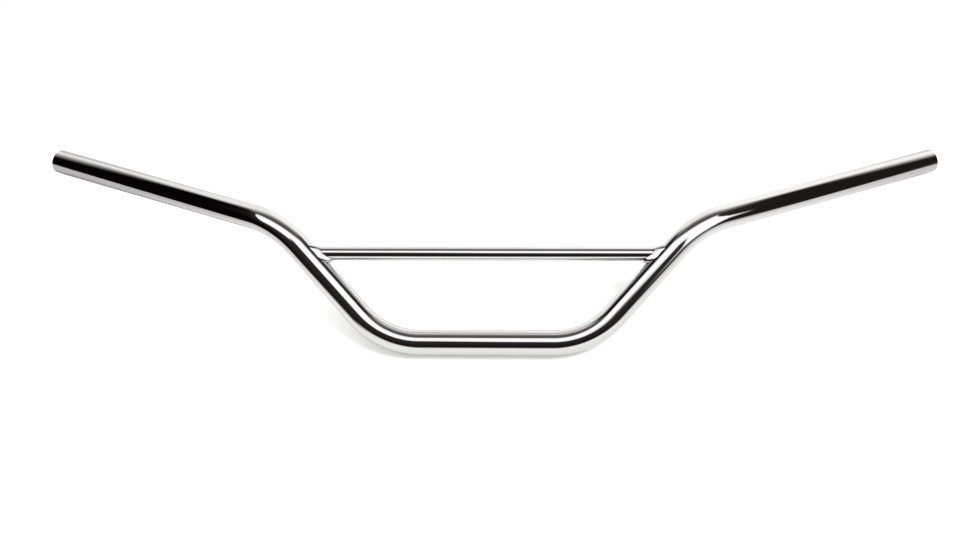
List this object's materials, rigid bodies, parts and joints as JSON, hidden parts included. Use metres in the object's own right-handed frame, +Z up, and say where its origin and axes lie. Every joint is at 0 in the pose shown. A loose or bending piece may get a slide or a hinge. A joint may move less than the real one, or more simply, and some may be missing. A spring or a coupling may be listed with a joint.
{
  "type": "handlebar",
  "caption": "Cross-braced motorcycle handlebar: one chrome-plated bent tube with a straight round brace welded across its two legs, open at both ends.",
  "frame": {"origin": "middle of the straight clamp seat, on the tube's axis", "axes": "+X along the clamp seat to the right grip end, +Y back towards the rider, +Z up the rise, in the plane of the legs and the crossbar"},
  "size_m": [0.8376, 0.1202, 0.1926],
  "materials": {
    "tube_chrome": "mirror-bright chrome plate",
    "crossbar_chrome": "mirror-bright chrome plate",
    "weld_chrome": "bright chrome plate over a fine weld ripple"
  },
  "bodies": {
    "root": {"main_tube": "tube_chrome", "crossbar": "crossbar_chrome", "left_weld": "weld_chrome", "right_weld": "weld_chrome"}
  },
  "joints": []
}
